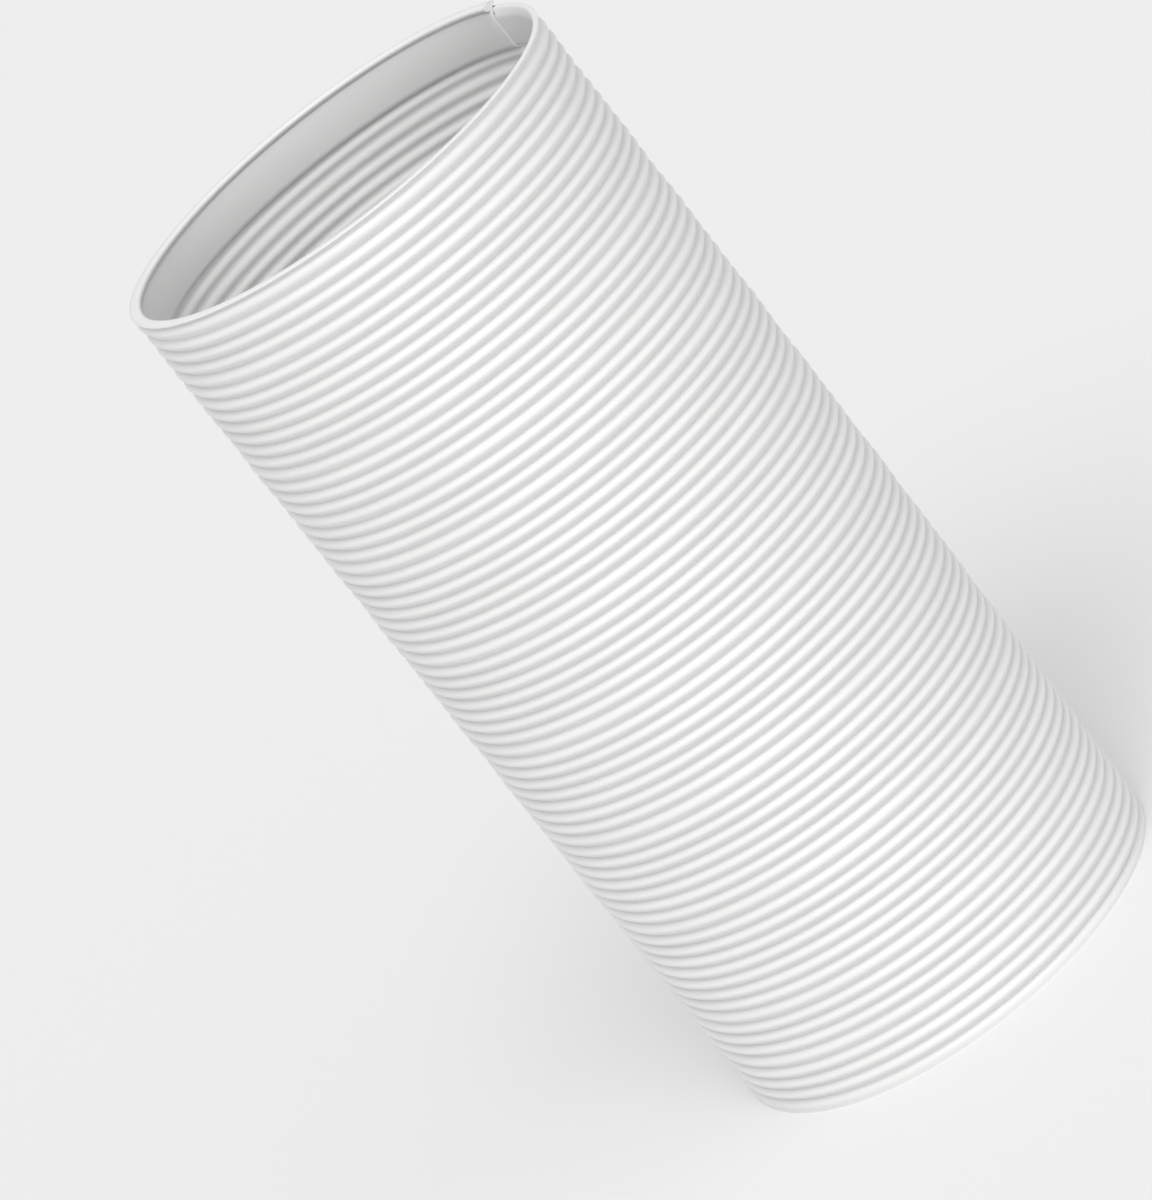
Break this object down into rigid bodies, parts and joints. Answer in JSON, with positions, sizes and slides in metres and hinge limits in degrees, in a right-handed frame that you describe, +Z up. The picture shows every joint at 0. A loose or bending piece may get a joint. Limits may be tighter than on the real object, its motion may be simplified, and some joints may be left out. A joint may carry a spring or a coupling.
{
  "type": "air conditioner exhaust hose",
  "caption": "White ribbed exhaust hose of a portable air conditioner, one wound plastic strip pushed together into a short open tube with a stepped mouth.",
  "frame": {"origin": "centre of the flat lower end, on the hose's axis", "axes": "+Z up along the hose's axis to its open mouth, -Y towards the camera, +X to the right"},
  "size_m": [0.1488, 0.1488, 0.316],
  "materials": {
    "white_plastic": "satin"
  },
  "bodies": {
    "root": {"wound_strip_wall": "white_plastic"}
  },
  "joints": []
}
